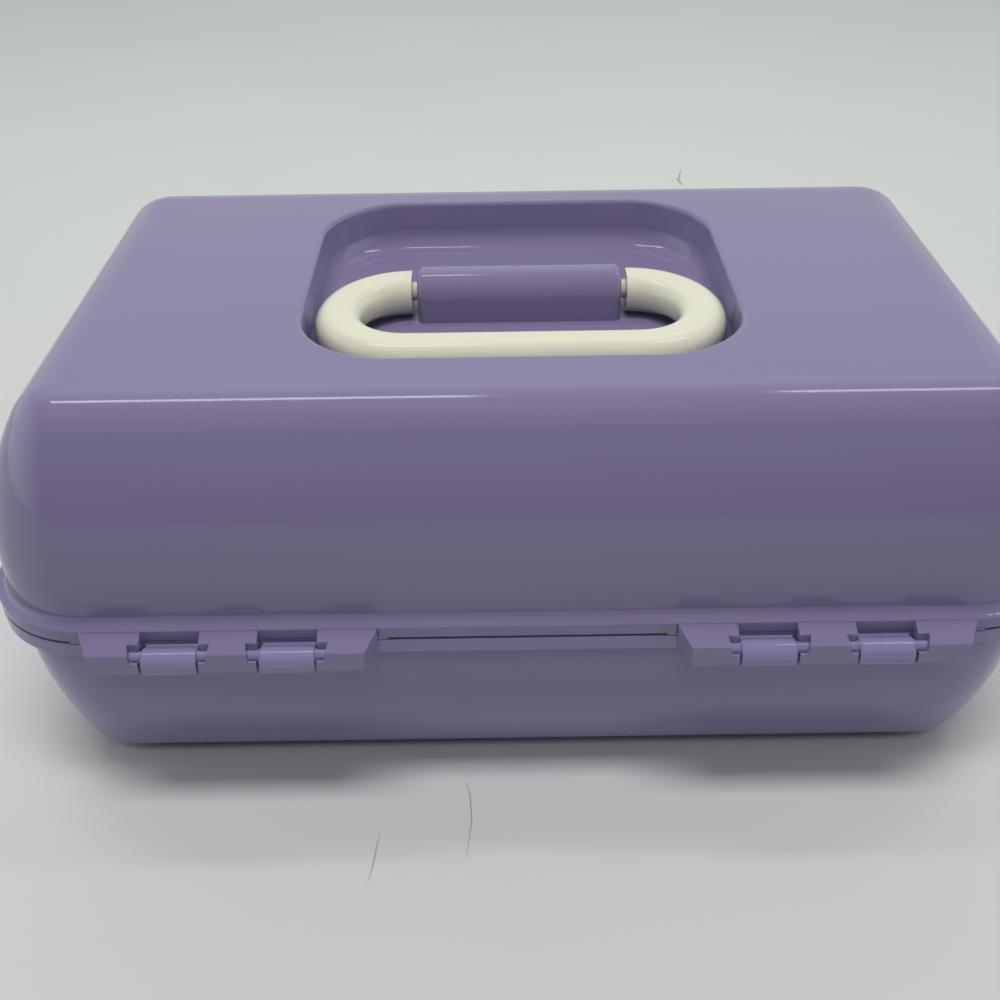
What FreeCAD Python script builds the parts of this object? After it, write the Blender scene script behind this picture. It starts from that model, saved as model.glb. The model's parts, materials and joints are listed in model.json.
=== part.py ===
"""Makeup storage case: a moulded tub and lid on snap hinges, with a swinging carry handle in a
well in the lid, a mirror under the lid and two trays that step out on parallel links as it opens.

Millimetres. X runs along the case, the hinges are at +Y, the latch at -Y, and Z is up from the
surface that the case stands on. The origin is under the middle of the case.
"""
import FreeCAD, Part
import math
import os
import Sketcher

SIZES = {
    # whole case
    "case_width": 320.6,           # over the rim flanges, along X
    "case_depth": 199.2,           # over the rim flanges, along Y
    "case_height": 134.1,
    "shell_wall": 2.4,
    "flange_stand_out": 3.5,       # rim flange beyond the lid wall
    "corner_radius": 29.0,         # plan corner of the lid wall at the rim
    # tub
    "base_height": 67.0,           # top face of the tub's flange
    "base_flange_depth": 4.6,
    "base_band_depth": 2.7,        # thicker band of wall under the flange
    "base_band_out": 1.3,
    "base_curve_height": 60.0,     # the tub wall curves in below this
    "base_inset": 27.1,            # how far the curve runs in by the bottom
    "base_bottom_radius": 19.1,
    "base_step": 1.0,              # tub wall inside the lid wall
    "foot_margin": 9.0,            # standing ring round the recessed underside
    "foot_recess": 0.8,
    "tongue_height": 3.0,          # inner lip that guides the lid
    "tongue_thickness": 1.5,
    "tongue_clearance": 0.35,
    "tongue_root": 4.5,            # how far the lip reaches down inside the tub
    # lid
    "rim_slot": 1.0,               # open line between the flanges
    "lid_flange_depth": 3.55,
    "lid_cove_radius": 2.6,
    "lid_straight": 8.0,           # upright stretch of the wall above the flange
    "lid_side_radius": 86.7,       # the wall's long curve
    "lid_edge_radius": 15.0,       # the rounded edge of the top
    "lip_gap": 0.3,                # lid's resting lips above the tub's flange
    "lip_depth": 2.6,
    "rear_lip_start": 40.0,
    "rear_lip_end": 131.0,
    "front_lip_start": 34.0,
    "front_lip_end": 70.0,
    # handle well and boss
    "well_half_x": 66.8,
    "well_half_y": 57.5,
    "well_y": -3.4,                # middle of the well
    "well_corner_radius": 28.0,
    "well_depth": 15.8,
    "well_draft": 1.0,             # how much each wall leans in before the floor curve
    "well_floor_radius": 7.5,
    "well_lip_radius": 1.6,
    "boss_length": 66.4,
    "boss_radius": 8.0,
    "boss_end_radius": 2.2,
    # handle
    "handle_y": -4.6,              # axis of the handle's pins
    "handle_pin_spread": 70.0,     # between the two ends of the loop
    "handle_bend_radius": 22.0,
    "handle_width": 14.5,
    "handle_thickness": 12.0,
    "handle_edge_radius": 5.4,
    "handle_pin_radius": 3.0,
    "handle_pin_length": 8.4,
    "pivot_clearance": 0.06,       # radial, for every pin that turns in plastic
    "pin_end_gap": 0.4,
    # hinges
    "hinge_out": 4.1,              # hinge axis beyond the flange face
    "hinge_drop": 1.5,             # hinge axis below the top of the tub's flange
    "hinge_block_inner": 42.6,     # block ends at the top edge, along X
    "hinge_block_outer": 128.2,
    "hinge_block_taper": 4.8,
    "hinge_barrel_radius": 3.8,
    "hinge_knuckle_radius": 3.9,
    "hinge_knuckle_width": 15.5,
    "hinge_knuckle_near": 67.8,
    "hinge_knuckle_far": 100.8,
    "hinge_knuckle_gap": 0.6,      # at each side of a knuckle
    "hinge_pin_radius": 2.1,
    "hinge_pin_length": 7.2,
    "hinge_notch": 4.0,            # open notch beside the knuckle that shows the pin
    "hinge_face_gap": 0.3,
    # latch
    "latch_width": 46.0,
    "latch_side_gap": 0.4,
    "latch_ear_thickness": 4.0,
    "latch_axis_out": 3.5,         # latch axis beyond the flange face
    "latch_axis_rise": 6.4,        # latch axis above the top of the tub's flange
    "latch_barrel_radius": 3.4,
    "latch_plate_thickness": 2.2,
    "latch_drop": 19.0,            # plate below the latch axis
    "latch_lip": 2.8,
    "latch_nose_height": 2.6,
    "latch_nose_gap": 0.4,
    "latch_pin_radius": 1.7,
    "latch_pin_length": 3.0,
    # links and trays
    "link_reach": 43.2,            # lid pivot in front of the hinge axis
    "link_rise": 20.3,             # lid pivot above the hinge axis
    "long_pivot_y": 33.2,
    "short_pivot_y": -20.0,
    "base_pivot_drop": 1.35,       # link pivots below the top of the tub's flange
    "arm_thickness": 2.0,
    "arm_radius": 4.4,
    "arm_side_gap": 2.0,           # tray side to arm
    "boss_side_gap": 0.4,          # arm to the bosses that carry it
    "link_boss_radius": 4.6,
    "rivet_radius": 2.0,
    "rivet_head_radius": 3.4,
    "rivet_head_height": 1.2,
    "rivet_seat_depth": 6.0,
    "tray_half_width": 137.0,
    "tray_front_gap": 8.0,         # tray to the tub's front wall
    "tray_wall": 1.8,
    "tray_floor": 1.6,
    "tray_corner_radius": 14.0,
    "tray_partition": 1.4,
    "lower_tray_length": 130.0,
    "lower_tray_depth": 30.0,
    "lower_tray_above_pivot": 4.0,
    "lower_row_length": 60.0,
    "upper_tray_length": 154.0,
    "upper_tray_depth": 24.0,
    "upper_tray_below_pivot": 3.15,
    "upper_row_length": 44.0,
    "divider_thickness": 1.4,
    "divider_groove": 0.7,
    "divider_gap": 0.15,
    "divider_drop": 4.0,
    "lower_divider_pitch": 68.0,
    "upper_divider_pitch": 90.0,
    # mirror
    "mirror_frame_half_x": 98.0,
    "mirror_frame_half_y": 56.0,
    "mirror_frame_depth": 4.0,
    "mirror_frame_corner": 10.0,
    "mirror_border": 9.0,
    "mirror_thickness": 2.0,
    "mirror_gap": 0.15,
    "screw_x": 91.0,
    "screw_y": 49.0,
    "screw_radius": 1.5,
    "screw_head_radius": 2.8,
    "screw_head_height": 1.6,
    "screw_length": 9.0,
    "screw_boss_radius": 3.6,
}

doc = FreeCAD.newDocument("makeup_storage_case")
sheet = doc.addObject("Spreadsheet::Sheet", "Sizes")
for row, (alias, number) in enumerate(SIZES.items(), start=1):
    sheet.set(f"A{row}", alias)
    sheet.set(f"B{row}", str(number))
    sheet.setAlias(f"B{row}", alias)
doc.recompute()


class Length:
    """A size worked out from the sheet, kept with the expression that binds it."""

    def __init__(self, text, value):
        self.text = text
        self.value = value

    @staticmethod
    def of(other):
        if isinstance(other, Length):
            return other
        return Length(f"({round(other, 6)})", other)

    def __add__(self, other):
        other = Length.of(other)
        return Length(f"({self.text} + {other.text})", self.value + other.value)

    def __sub__(self, other):
        other = Length.of(other)
        return Length(f"({self.text} - {other.text})", self.value - other.value)

    def __mul__(self, other):
        other = Length.of(other)
        return Length(f"({self.text} * {other.text})", self.value * other.value)

    def __truediv__(self, other):
        other = Length.of(other)
        return Length(f"({self.text} / {other.text})", self.value / other.value)

    def __radd__(self, other):
        return Length.of(other) + self

    def __rsub__(self, other):
        return Length.of(other) - self

    def __rmul__(self, other):
        return Length.of(other) * self

    def __rtruediv__(self, other):
        return Length.of(other) / self

    def __neg__(self):
        return Length(f"(0 - {self.text})", -self.value)

    def power(self, exponent):
        exponent = Length.of(exponent)
        return Length(f"({self.text} ^ {exponent.text})", self.value ** exponent.value)

    def root(self):
        return Length(f"sqrt({self.text})", math.sqrt(self.value))


class Sheet:
    """Gives each cell of the sheet as a Length: size.case_width and so on."""

    def __getattr__(self, alias):
        return Length(f"Sizes.{alias}", SIZES[alias])


size = Sheet()
parts = []


def new_body(name):
    body = doc.addObject("PartDesign::Body", name)
    body.Label = name
    parts.append(body)
    return body


def bind(feature, prop, amount):
    feature.setExpression(prop, Length.of(amount).text)


def plane(body, role):
    return [item for item in body.Origin.OriginFeatures if item.Role == role][0]


def new_sketch(body, name, role, offset):
    sketch = body.newObject("Sketcher::SketchObject", name)
    sketch.AttachmentSupport = [(plane(body, role), "")]
    sketch.MapMode = "FlatFace"
    sketch.AttachmentOffset = FreeCAD.Placement(
        FreeCAD.Vector(0, 0, Length.of(offset).value), FreeCAD.Rotation())
    bind(sketch, "AttachmentOffset.Base.z", offset)
    return sketch


def dimension(sketch, kind, *place, amount):
    amount = Length.of(amount)
    index = sketch.addConstraint(Sketcher.Constraint(kind, *place, amount.value))
    bind(sketch, f"Constraints[{index}]", amount)


def arc_between(start, end, centre):
    """The shorter arc about centre, and which of its ends, 1 or 2, lies at start."""
    radius = (start - centre).Length
    first = math.atan2(start.y - centre.y, start.x - centre.x)
    last = math.atan2(end.y - centre.y, end.x - centre.x)
    turn = (last - first) % (2 * math.pi)
    circle = Part.Circle(centre, FreeCAD.Vector(0, 0, 1), radius)
    if turn <= math.pi:
        return Part.ArcOfCircle(circle, first, first + turn), 1
    return Part.ArcOfCircle(circle, last, last + 2 * math.pi - turn), 2


def closed_outline(body, name, role, offset, points):
    """A closed outline of lines and arcs. Each point gives its place from the sketch's origin; one
    that starts an arc also gives the arc's centre and radius."""
    sketch = new_sketch(body, name, role, offset)
    places = [(Length.of(point[0]), Length.of(point[1])) for point in points]
    corners = [FreeCAD.Vector(x.value, y.value, 0) for x, y in places]
    count = len(points)
    starts = []
    for k, point in enumerate(points):
        start = corners[k]
        end = corners[(k + 1) % count]
        if len(point) == 2:
            sketch.addGeometry(Part.LineSegment(start, end))
            starts.append(1)
        else:
            centre = FreeCAD.Vector(Length.of(point[2]).value, Length.of(point[3]).value, 0)
            arc, first = arc_between(start, end, centre)
            sketch.addGeometry(arc)
            starts.append(first)
    for k in range(count):
        after = (k + 1) % count
        sketch.addConstraint(Sketcher.Constraint("Coincident", k, 3 - starts[k], after, starts[after]))
    for k, (x, y) in enumerate(places):
        dimension(sketch, "DistanceX", -1, 1, k, starts[k], amount=x)
        dimension(sketch, "DistanceY", -1, 1, k, starts[k], amount=y)
        if len(points[k]) > 2:
            dimension(sketch, "Radius", k, amount=points[k][4])
    return sketch


def rounded_rectangle(body, name, offset, half_x, half_y, radius, centre_y=0.0, role="XY_Plane",
                      centre_x=0.0):
    """A rectangle with equal round corners: four lines, each followed by its arc."""
    half_x, half_y, radius = Length.of(half_x), Length.of(half_y), Length.of(radius)
    low_x, high_x = centre_x - half_x, centre_x + half_x
    low_y, high_y = centre_y - half_y, centre_y + half_y
    in_low_x, in_high_x = low_x + radius, high_x - radius
    in_low_y, in_high_y = low_y + radius, high_y - radius
    return closed_outline(body, name, role, offset, (
        (in_low_x, low_y),
        (in_high_x, low_y, in_high_x, in_low_y, radius),
        (high_x, in_low_y),
        (high_x, in_high_y, in_high_x, in_high_y, radius),
        (in_high_x, high_y),
        (in_low_x, high_y, in_low_x, in_high_y, radius),
        (low_x, in_high_y),
        (low_x, in_low_y, in_low_x, in_low_y, radius)))


def slot_outline(body, name, role, offset, start, end, radius):
    """Two half circles joined by two lines, round the points start and end."""
    sketch = new_sketch(body, name, role, offset)
    points = [(Length.of(x), Length.of(y)) for x, y in (start, end)]
    radius = Length.of(radius)
    first, second = [FreeCAD.Vector(x.value, y.value, 0) for x, y in points]
    lean = math.atan2(second.y - first.y, second.x - first.x)
    side = FreeCAD.Vector(-math.sin(lean), math.cos(lean), 0) * radius.value
    normal = FreeCAD.Vector(0, 0, 1)
    quarter = math.pi / 2
    sketch.addGeometry(Part.ArcOfCircle(
        Part.Circle(first, normal, radius.value), lean + quarter, lean + 3 * quarter))
    sketch.addGeometry(Part.LineSegment(first - side, second - side))
    sketch.addGeometry(Part.ArcOfCircle(
        Part.Circle(second, normal, radius.value), lean - quarter, lean + quarter))
    sketch.addGeometry(Part.LineSegment(second + side, first + side))
    for k in range(4):
        sketch.addConstraint(Sketcher.Constraint("Tangent", k, 2, (k + 1) % 4, 1))
    dimension(sketch, "Radius", 0, amount=radius)
    for k, (x, y) in zip((0, 2), points):
        dimension(sketch, "DistanceX", -1, 1, k, 3, amount=x)
        dimension(sketch, "DistanceY", -1, 1, k, 3, amount=y)
    return sketch


def wall_sweep(body, name, half_x, half_y, radius, section, shift=0.0):
    """Sweeps a wall's section round a rounded rectangle. The section's points are given as how far
    each lies inside that rectangle, and its height."""
    half_y = Length.of(half_y)
    front = shift - half_y
    points = []
    for inset, height, *bend in section:
        if bend:
            bend = (front + bend[0], bend[1], bend[2])
        points.append((front + inset, height, *bend))
    path = rounded_rectangle(body, f"{name}_path", points[0][1], half_x, half_y, radius, shift)
    profile = closed_outline(body, f"{name}_section", "YZ_Plane", radius - half_x, points)
    sweep = body.newObject("PartDesign::AdditivePipe", name)
    sweep.Profile = (profile, [""])
    sweep.Spine = (path, [f"Edge{k}" for k in range(1, 9)])
    return sweep


def pad(body, name, sketch, length, reverse=False, middle=False):
    feature = body.newObject("PartDesign::Pad", name)
    feature.Profile = (sketch, [""])
    bind(feature, "Length", length)
    feature.Reversed = reverse
    if middle:
        feature.SideType = "Symmetric"
    return feature


def pocket(body, name, sketch, length, reverse=False, middle=False):
    feature = body.newObject("PartDesign::Pocket", name)
    feature.Profile = (sketch, [""])
    bind(feature, "Length", length)
    feature.Reversed = reverse
    if middle:
        feature.SideType = "Symmetric"
    return feature


def block(body, name, low, high, cut=False):
    """A box between two corners."""
    kind = "PartDesign::SubtractiveBox" if cut else "PartDesign::AdditiveBox"
    feature = body.newObject(kind, name)
    for axis, prop, start, end in zip("xyz", ("Length", "Width", "Height"), low, high):
        bind(feature, f"Placement.Base.{axis}", start)
        bind(feature, prop, Length.of(end) - Length.of(start))
    return feature


def rod(body, name, axis, start, length, radius, cut=False):
    """A cylinder from the point start, along the axis X, Y or Z."""
    kind = "PartDesign::SubtractiveCylinder" if cut else "PartDesign::AdditiveCylinder"
    feature = body.newObject(kind, name)
    turns = {"X": (FreeCAD.Vector(0, 1, 0), 90), "Y": (FreeCAD.Vector(1, 0, 0), -90),
             "Z": (FreeCAD.Vector(0, 0, 1), 0)}
    feature.Placement = FreeCAD.Placement(FreeCAD.Vector(), FreeCAD.Rotation(*turns[axis]))
    for name_of_axis, place in zip("xyz", start):
        bind(feature, f"Placement.Base.{name_of_axis}", place)
    bind(feature, "Radius", radius)
    bind(feature, "Height", length)
    return feature


def along(side, near, far):
    """The low and high end of a stretch from near to far on the side +1 or -1 of X."""
    return (near, far) if side > 0 else (-Length.of(far), -Length.of(near))


def round_edges(body, name, radius, chosen):
    """A fillet on the edges of the body's present shape for which chosen(edge) is true."""
    doc.recompute()
    base = body.Tip
    edges = [f"Edge{k}" for k, edge in enumerate(base.Shape.Edges, start=1) if chosen(edge)]
    feature = body.newObject("PartDesign::Fillet", name)
    feature.Base = (base, edges)
    bind(feature, "Radius", radius)
    return feature


# ---------------------------------------------------------------- places shared by the pieces
flange_half_x = size.case_width / 2
flange_half_y = size.case_depth / 2
lid_half_x = flange_half_x - size.flange_stand_out
lid_half_y = flange_half_y - size.flange_stand_out
flange_radius = size.corner_radius + size.flange_stand_out
base_half_x = lid_half_x - size.base_step
base_half_y = lid_half_y - size.base_step
lid_bottom = size.base_height + size.rim_slot
lid_wall_bottom = lid_bottom + size.lid_flange_depth
base_corner = size.corner_radius - size.base_step
tongue_half_x = lid_half_x - size.shell_wall - size.tongue_clearance
lid_straight_top = lid_wall_bottom + size.lid_straight
lid_sine = (size.case_height - lid_straight_top - size.lid_edge_radius) / (
    size.lid_side_radius - size.lid_edge_radius)
lid_cosine = (1 - lid_sine * lid_sine).root()
lid_inset = size.lid_side_radius * (1 - lid_cosine) + size.lid_edge_radius * lid_cosine
well_bend_inset = size.well_draft + size.well_floor_radius

hinge_y = flange_half_y + size.hinge_out
hinge_z = size.base_height - size.hinge_drop
hinge_front = flange_half_y + size.hinge_face_gap
hinge_back = hinge_y + size.hinge_barrel_radius

handle_z = size.case_height - size.boss_radius
well_floor = size.case_height - size.well_depth

latch_y = -(flange_half_y + size.latch_axis_out)
latch_z = size.base_height + size.latch_axis_rise

pivot_z = size.base_height - size.base_pivot_drop
lower_pivot_z = pivot_z + size.link_rise / 2
upper_pivot_z = pivot_z + size.link_rise
lower_long_y = size.long_pivot_y - size.link_reach / 2
lower_short_y = size.short_pivot_y - size.link_reach / 2
upper_long_y = size.long_pivot_y - size.link_reach
lid_pivot_y = hinge_y - size.link_reach
lid_pivot_z = hinge_z + size.link_rise
arm_inner = size.tray_half_width + size.arm_side_gap
arm_outer = arm_inner + size.arm_thickness
boss_face = arm_outer + size.boss_side_gap
tray_front = -(base_half_y - size.shell_wall - size.tray_front_gap)
running_radius = size.rivet_radius + size.pivot_clearance

# ---------------------------------------------------------------- tub
def tub_section():
    """The tub's wall: two arcs in line with each other from the bottom up, then the rim."""
    foot = size.base_inset
    rise = size.base_curve_height
    small = size.base_bottom_radius
    large = (foot * foot + rise * rise - 2 * rise * small) / (2 * (foot - small))
    cosine = (large - foot) / (large - small)
    sine = (rise - small) / (large - small)
    wall = size.shell_wall
    flange_bottom = size.base_height - size.base_flange_depth
    band_bottom = flange_bottom - size.base_band_depth
    tongue_outside = wall + size.tongue_clearance - size.base_step
    tongue_inside = tongue_outside + size.tongue_thickness
    tongue_foot = size.base_height - size.tongue_root
    flange = -(size.flange_stand_out + size.base_step)
    return (
        (foot, 0.0, foot, small, small),
        (large - large * cosine, rise - large * sine, large, rise, large),
        (0.0, rise),
        (0.0, band_bottom - size.base_band_out),
        (-size.base_band_out, band_bottom),
        (-size.base_band_out, flange_bottom),
        (flange, flange_bottom),
        (flange, size.base_height),
        (tongue_outside, size.base_height),
        (tongue_outside, size.base_height + size.tongue_height),
        (tongue_inside, size.base_height + size.tongue_height),
        (tongue_inside, tongue_foot),
        (wall, tongue_foot - (tongue_inside - wall)),
        (wall, rise, large, rise, large - wall),
        (large - (large - wall) * cosine, rise - (large - wall) * sine, foot, small, small - wall),
        (foot, wall))


def make_base():
    body = new_body("base_shell")
    wall_sweep(body, "tub_wall", base_half_x, base_half_y, base_corner, tub_section())
    floor = rounded_rectangle(
        body, "floor_outline", 0.0, base_half_x - size.base_inset, base_half_y - size.base_inset,
        base_corner - size.base_inset)
    pad(body, "tub_floor", floor, size.shell_wall)
    # recessed underside, so that the case stands on a ring
    underside = rounded_rectangle(
        body, "underside_outline", 0.0, base_half_x - size.base_inset - size.foot_margin,
        base_half_y - size.base_inset - size.foot_margin, size.foot_margin)
    pocket(body, "underside", underside, size.foot_recess, reverse=True)
    for side in (1, -1):
        hand = "left" if side > 0 else "right"
        for order in ("near", "far"):
            centre = getattr(size, f"hinge_knuckle_{order}") * side
            half = size.hinge_knuckle_width / 2
            block(body, f"knuckle_arm_{order}_{hand}",
                  (centre - half, flange_half_y - 1, hinge_z - size.hinge_knuckle_radius + 0.5),
                  (centre + half, hinge_y, size.base_height - 0.2))
            rod(body, f"knuckle_{order}_{hand}", "X", (centre - half, hinge_y, hinge_z),
                size.hinge_knuckle_width, size.hinge_knuckle_radius)
            reach = half + size.hinge_pin_length
            rod(body, f"knuckle_pin_{order}_{hand}", "X", (centre - reach, hinge_y, hinge_z),
                reach * 2, size.hinge_pin_radius)
        for order in ("long", "short"):
            place = getattr(size, f"{order}_pivot_y")
            low, high = along(side, boss_face, tongue_half_x - size.tongue_clearance)
            rod(body, f"link_boss_{order}_{hand}", "X", (low, place, pivot_z), high - low,
                size.link_boss_radius)
            low, high = along(side, boss_face - 1, boss_face + size.rivet_seat_depth)
            rod(body, f"link_seat_{order}_{hand}", "X", (low, place, pivot_z), high - low,
                size.rivet_radius, cut=True)
    return body


# ---------------------------------------------------------------- lid
def lid_section():
    """The lid's wall: flange, cove, upright foot, long curve and rounded top edge."""
    wall = size.shell_wall
    side = size.lid_side_radius
    edge = size.lid_edge_radius
    join_height = lid_straight_top + side * lid_sine
    edge_height = size.case_height - edge
    cove = size.lid_cove_radius
    return (
        (lid_inset, size.case_height, lid_inset, edge_height, edge),
        (side - side * lid_cosine, join_height, side, lid_straight_top, side),
        (0.0, lid_straight_top),
        (0.0, lid_wall_bottom + cove, -cove, lid_wall_bottom + cove, cove),
        (-cove, lid_wall_bottom),
        (-size.flange_stand_out, lid_wall_bottom),
        (-size.flange_stand_out, lid_bottom),
        (wall, lid_bottom),
        (wall, lid_straight_top, side, lid_straight_top, side - wall),
        (side - (side - wall) * lid_cosine, lid_straight_top + (side - wall) * lid_sine,
         lid_inset, edge_height, edge - wall),
        (lid_inset, size.case_height - wall))


def make_lid():
    body = new_body("lid_shell")
    wall_sweep(body, "lid_wall", lid_half_x, lid_half_y, size.corner_radius, lid_section())
    top = rounded_rectangle(
        body, "top_outline", size.case_height - size.shell_wall, lid_half_x - lid_inset,
        lid_half_y - lid_inset, size.corner_radius - lid_inset)
    pad(body, "lid_top", top, size.shell_wall)
    make_well(body)
    make_lid_lips(body)
    make_hinge_blocks(body)
    make_latch_ears(body)
    make_lid_inside(body)
    return body


def is_on_boss_end(edge):
    """The rounded ends of the boss that carries the handle."""
    box = edge.BoundBox
    at_end = abs(abs(box.Center.x) - size.boss_length.value / 2) < 0.01 and box.XLength < 0.01
    return at_end and box.ZMax > well_floor.value + 1 and box.YLength > size.boss_radius.value


def well_section():
    """The well's wall: a rounded lip, a drafted side and the curve into the floor."""
    wall = size.shell_wall
    lip = size.well_lip_radius
    bend = size.well_floor_radius
    bend_height = well_floor + bend
    return (
        (-lip, size.case_height, -lip, size.case_height - lip, lip),
        (0.0, size.case_height - lip),
        (size.well_draft, bend_height, well_bend_inset, bend_height, bend),
        (well_bend_inset, well_floor),
        (well_bend_inset, well_floor - wall, well_bend_inset, bend_height, bend + wall),
        (size.well_draft - wall, bend_height),
        (-wall, size.case_height - wall),
        (-lip, size.case_height - wall))


def make_well(body):
    """The handle well: a hole in the lid's top, the wall hung in it, its floor and the boss."""
    wall = size.shell_wall
    lip = size.well_lip_radius
    mouth = rounded_rectangle(
        body, "well_mouth", size.case_height - wall, size.well_half_x + lip, size.well_half_y + lip,
        size.well_corner_radius + lip, size.well_y)
    pocket(body, "well_hole", mouth, wall, reverse=True)
    wall_sweep(body, "well_wall", size.well_half_x, size.well_half_y, size.well_corner_radius,
               well_section(), size.well_y)
    floor = rounded_rectangle(
        body, "well_floor_outline", well_floor - wall, size.well_half_x - well_bend_inset,
        size.well_half_y - well_bend_inset, size.well_corner_radius - well_bend_inset,
        size.well_y)
    pad(body, "well_floor", floor, wall)
    half = size.boss_length / 2
    block(body, "boss_sides", (-half, size.handle_y - size.boss_radius, well_floor - wall / 2),
          (half, size.handle_y + size.boss_radius, handle_z))
    rod(body, "boss_barrel", "X", (-half, size.handle_y, handle_z), size.boss_length,
        size.boss_radius)
    round_edges(body, "boss_ends", size.boss_end_radius, is_on_boss_end)
    depth = size.handle_pin_length + size.pin_end_gap
    for side in (1, -1):
        low, high = along(side, size.handle_pin_spread / 2 - depth, half + 1)
        rod(body, f"boss_bore_{'left' if side > 0 else 'right'}", "X",
            (low, size.handle_y, handle_z), high - low,
            size.handle_pin_radius + size.pivot_clearance, cut=True)


def make_lid_lips(body):
    """Short lips under the lid's flange, which rest on the tub's flange."""
    bottom = size.base_height + size.lip_gap
    for side in (1, -1):
        hand = "left" if side > 0 else "right"
        low, high = along(side, size.rear_lip_start, size.rear_lip_end)
        block(body, f"rear_lip_{hand}", (low, flange_half_y - size.lip_depth, bottom),
              (high, flange_half_y, lid_bottom + 0.5))
        low, high = along(side, size.front_lip_start, size.front_lip_end)
        block(body, f"front_lip_{hand}", (low, -flange_half_y, bottom),
              (high, size.lip_depth - flange_half_y, lid_bottom + 0.5))


def make_hinge_blocks(body):
    ridge_z = lid_wall_bottom - 2.2
    for side in (1, -1):
        hand = "left" if side > 0 else "right"
        low, high = along(side, size.hinge_block_inner, size.hinge_block_outer)
        outline = closed_outline(body, f"hinge_outline_{hand}", "YZ_Plane", low, (
            (flange_half_y - 1.5, lid_bottom), (hinge_front, lid_bottom), (hinge_front, hinge_z),
            (hinge_back, hinge_z), (hinge_back, ridge_z - 0.7), (hinge_back - 0.7, ridge_z),
            (flange_half_y, lid_wall_bottom), (flange_half_y - 1.5, lid_wall_bottom)))
        pad(body, f"hinge_block_{hand}", outline, high - low)
        rod(body, f"hinge_barrel_{hand}", "X", (low, hinge_y, hinge_z), high - low,
            size.hinge_barrel_radius)
        # slanted ends
        bottom = hinge_z - size.hinge_barrel_radius - 0.3
        for end, place, lean in (("inner", size.hinge_block_inner, 1),
                                 ("outer", size.hinge_block_outer, -1)):
            edge = place * side
            foot = (place + size.hinge_block_taper * lean) * side
            away = (place - 3 * lean) * side
            wedge = closed_outline(body, f"hinge_end_{end}_{hand}", "XZ_Plane", -hinge_front, (
                (away, lid_wall_bottom), (edge, lid_wall_bottom), (foot, bottom), (away, bottom)))
            pocket(body, f"hinge_end_cut_{end}_{hand}", wedge, hinge_back - hinge_front + 1)
        for order in ("near", "far"):
            centre = getattr(size, f"hinge_knuckle_{order}") * side
            half = size.hinge_knuckle_width / 2 + size.hinge_knuckle_gap
            block(body, f"hinge_window_{order}_{hand}", (centre - half, hinge_front - 0.1, bottom),
                  (centre + half, hinge_back + 1, lid_wall_bottom), cut=True)
            notch = size.hinge_knuckle_width / 2 + size.hinge_notch
            block(body, f"hinge_notch_{order}_{hand}", (centre - notch, hinge_y, hinge_z - 1.9),
                  (centre + notch, hinge_back + 1, hinge_z + 3.2), cut=True)
            reach = size.hinge_knuckle_width / 2 + size.hinge_pin_length + size.pin_end_gap
            rod(body, f"hinge_bore_{order}_{hand}", "X", (centre - reach, hinge_y, hinge_z),
                reach * 2, size.hinge_pin_radius + size.pivot_clearance, cut=True)


def make_latch_ears(body):
    half = size.latch_width / 2
    for side in (1, -1):
        hand = "left" if side > 0 else "right"
        low, high = along(side, half, half + size.latch_ear_thickness)
        block(body, f"latch_ear_{hand}", (low, latch_y, lid_bottom),
              (high, -(lid_half_y - size.shell_wall / 2), latch_z + size.latch_barrel_radius))
        rod(body, f"latch_ear_nose_{hand}", "X", (low, latch_y, latch_z), high - low,
            size.latch_barrel_radius)
        low, high = along(side, half - 1, half + size.latch_pin_length - size.latch_side_gap
                          + size.pin_end_gap)
        rod(body, f"latch_ear_bore_{hand}", "X", (low, latch_y, latch_z), high - low,
            size.latch_pin_radius + size.pivot_clearance, cut=True)


def make_lid_inside(body):
    """Bosses inside the lid: two that carry the upper tray and four for the mirror's screws."""
    frame_top = well_floor - size.shell_wall
    for side in (1, -1):
        hand = "left" if side > 0 else "right"
        low, high = along(side, size.tray_half_width + size.boss_side_gap,
                          lid_half_x - size.shell_wall / 2)
        rod(body, f"tray_boss_{hand}", "X", (low, lid_pivot_y, lid_pivot_z), high - low,
            size.link_boss_radius)
        low, high = along(side, size.tray_half_width - 1,
                          size.tray_half_width + size.boss_side_gap + size.rivet_seat_depth)
        rod(body, f"tray_boss_bore_{hand}", "X", (low, lid_pivot_y, lid_pivot_z), high - low,
            running_radius, cut=True)
        for end in (1, -1):
            row = "rear" if end > 0 else "front"
            place = (size.screw_x * side, size.screw_y * end, frame_top)
            rod(body, f"screw_boss_{row}_{hand}", "Z", place,
                size.case_height - size.shell_wall / 2 - frame_top, size.screw_boss_radius)
            rod(body, f"screw_hole_{row}_{hand}", "Z", (place[0], place[1], frame_top - 1),
                1 + size.screw_length - size.mirror_frame_depth, size.screw_radius, cut=True)


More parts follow.
